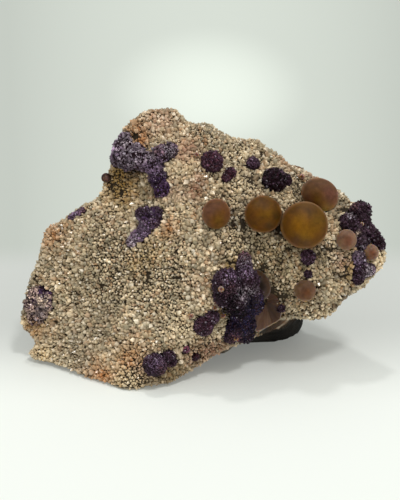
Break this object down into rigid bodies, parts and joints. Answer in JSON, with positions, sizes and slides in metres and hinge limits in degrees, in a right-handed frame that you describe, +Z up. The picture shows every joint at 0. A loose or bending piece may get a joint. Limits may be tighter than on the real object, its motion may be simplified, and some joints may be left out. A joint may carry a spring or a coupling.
{
  "type": "globular fluorite specimen",
  "caption": "Large cabinet mineral specimen: glassy honey and rough purple fluorite balls grown on a leaning slab of drusy quartz, resting on its flat broken base.",
  "frame": {"origin": "centre of the specimen's footprint box, on the surface it rests on", "axes": "+Z up, -Y towards the drusy face, +X to the face's right along the specimen's longest extent"},
  "size_m": [0.1335, 0.0678, 0.0908],
  "materials": {
    "quartz_druse": "pale drusy quartz crystals on brown broken rock",
    "honey_fluorite": "frosted translucent honey fluorite",
    "mauve_fluorite": "satin translucent mauve-brown fluorite",
    "purple_fluorite": "sparkling near-black purple fluorite crystals"
  },
  "bodies": {
    "root": {"quartz_matrix": "quartz_druse", "honey_sphere_large": "honey_fluorite", "honey_sphere_back": "honey_fluorite", "honey_sphere_middle": "honey_fluorite", "honey_sphere_left": "honey_fluorite", "mauve_sphere_low": "mauve_fluorite", "purple_ball_upper": "purple_fluorite", "purple_ball_pair": "purple_fluorite", "purple_ball_top": "purple_fluorite", "purple_ball_centre": "purple_fluorite", "purple_ball_right": "purple_fluorite", "purple_balls_low": "purple_fluorite", "purple_ball_base": "purple_fluorite", "purple_crust_top": "purple_fluorite", "purple_crust_middle": "purple_fluorite", "purple_crust_left": "purple_fluorite", "purple_streak": "purple_fluorite", "dark_cluster": "purple_fluorite", "right_cluster": "purple_fluorite", "bead_left_edge": "mauve_fluorite", "bead_base_left": "purple_fluorite", "bead_base_right": "purple_fluorite", "bead_right": "purple_fluorite"}
  },
  "joints": []
}
